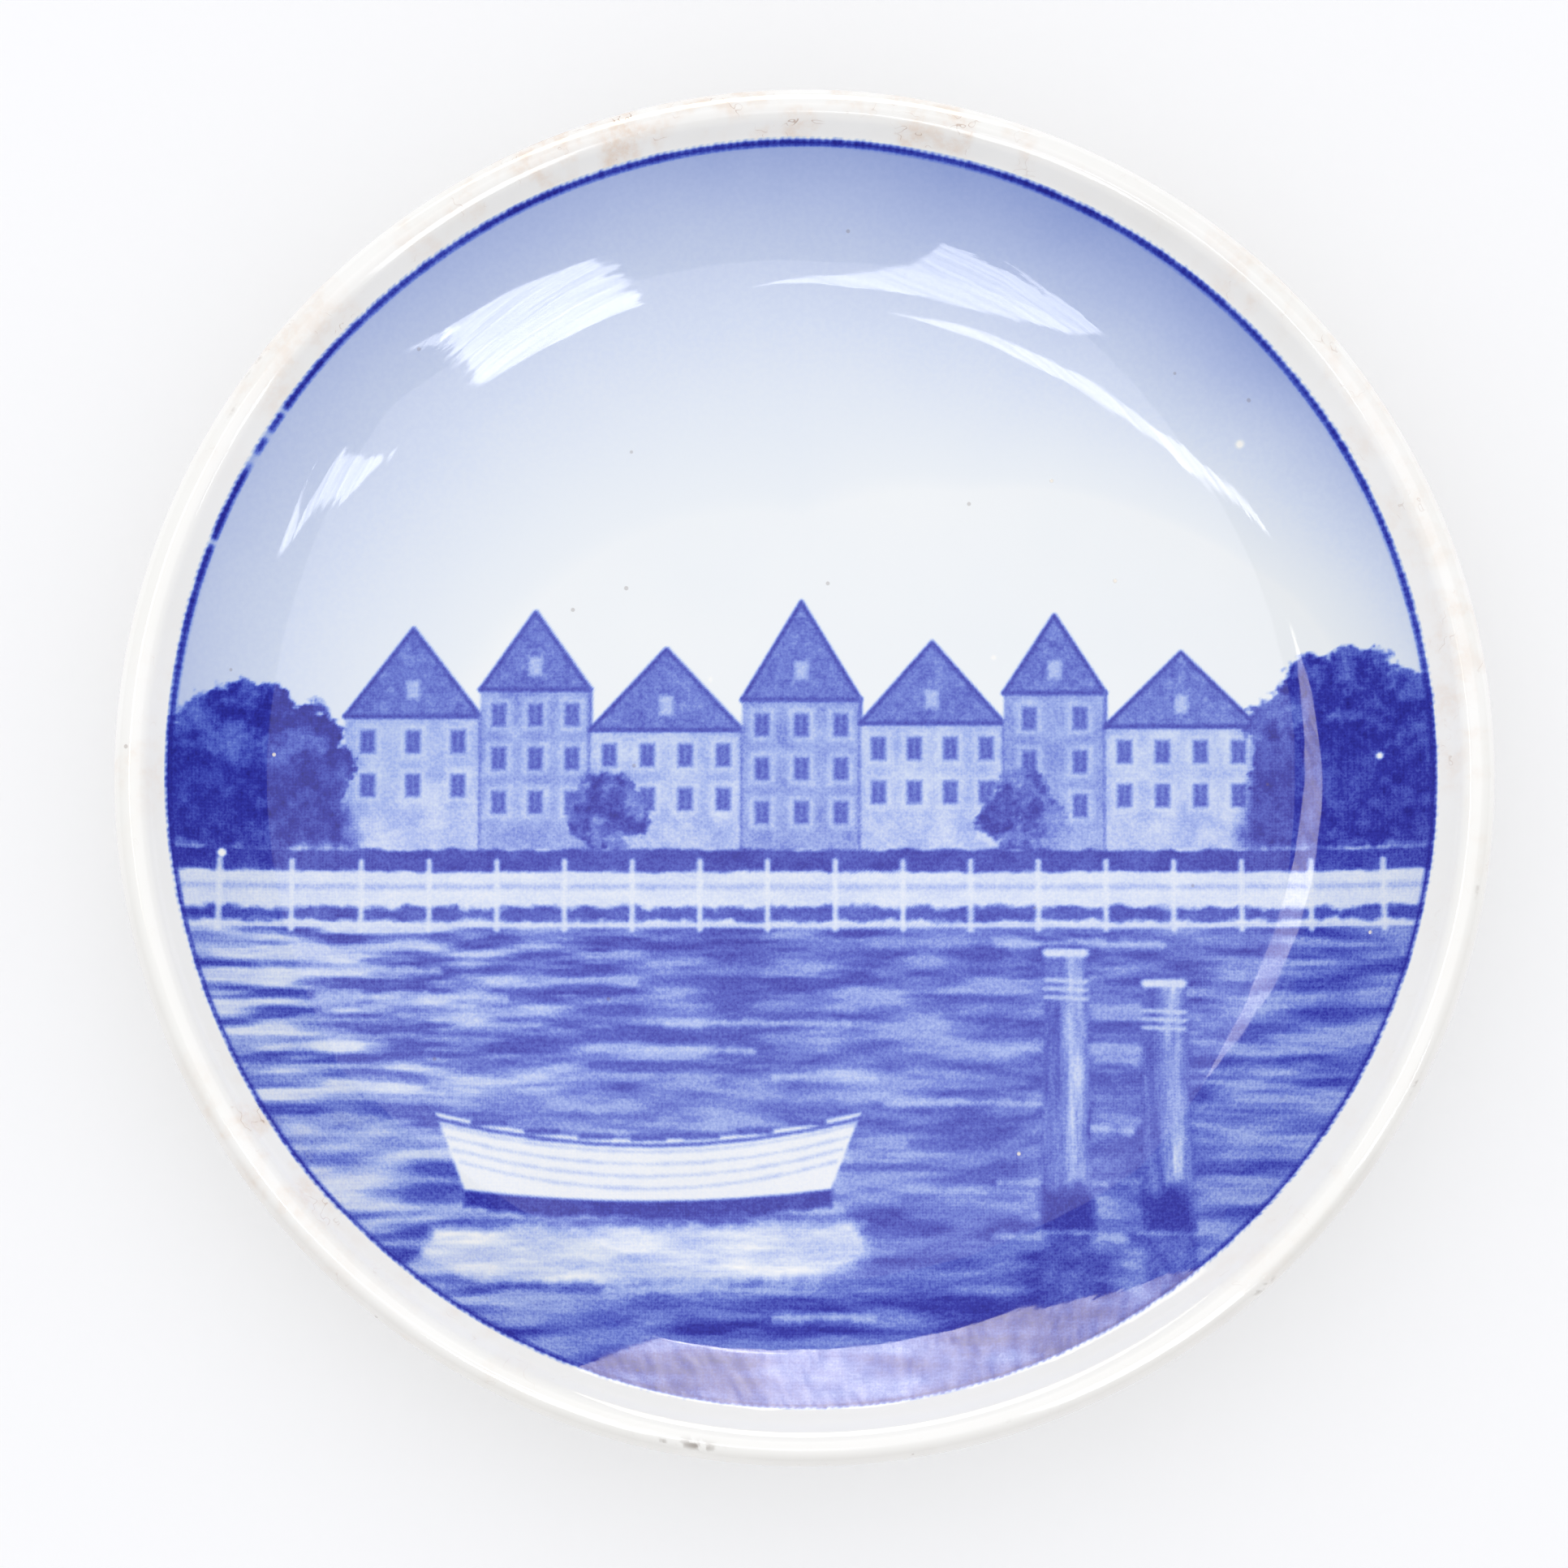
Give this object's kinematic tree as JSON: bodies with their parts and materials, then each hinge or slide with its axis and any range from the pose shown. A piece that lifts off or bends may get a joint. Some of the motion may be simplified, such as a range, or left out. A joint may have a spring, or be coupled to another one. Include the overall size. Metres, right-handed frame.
{
  "type": "souvenir plate",
  "caption": "Small round glazed ceramic dish with a rounded lip, a foot ring bored for a hanging cord and a blue underglaze harbour view in its well.",
  "frame": {"origin": "centre of the foot ring's resting face, on the plate's axis", "axes": "+Z along the plate's axis, out of its face; +Y towards the top of the picture, where the hanging holes are; +X to the picture's right"},
  "size_m": [0.08, 0.08, 0.0126],
  "materials": {
    "fired_body": "matt, unglazed white faience, bare on the foot ring only",
    "sky_blue": "sprayed cobalt tint under the glaze, darker towards the edge",
    "print_blue": "cobalt transfer print under the glaze",
    "line_blue": "painted cobalt line under the glaze",
    "clear_glaze": "clear glossy glaze, cream white over the bare rim, lightly crazed",
    "back_glaze": "clear glossy glaze over white faience"
  },
  "bodies": {
    "root": {"plate_body": "fired_body", "sky_spray": "sky_blue", "harbour_print": "print_blue", "edge_line": "line_blue", "glaze_face": "clear_glaze", "glaze_back": "back_glaze", "glaze_underside": "back_glaze"}
  },
  "joints": []
}
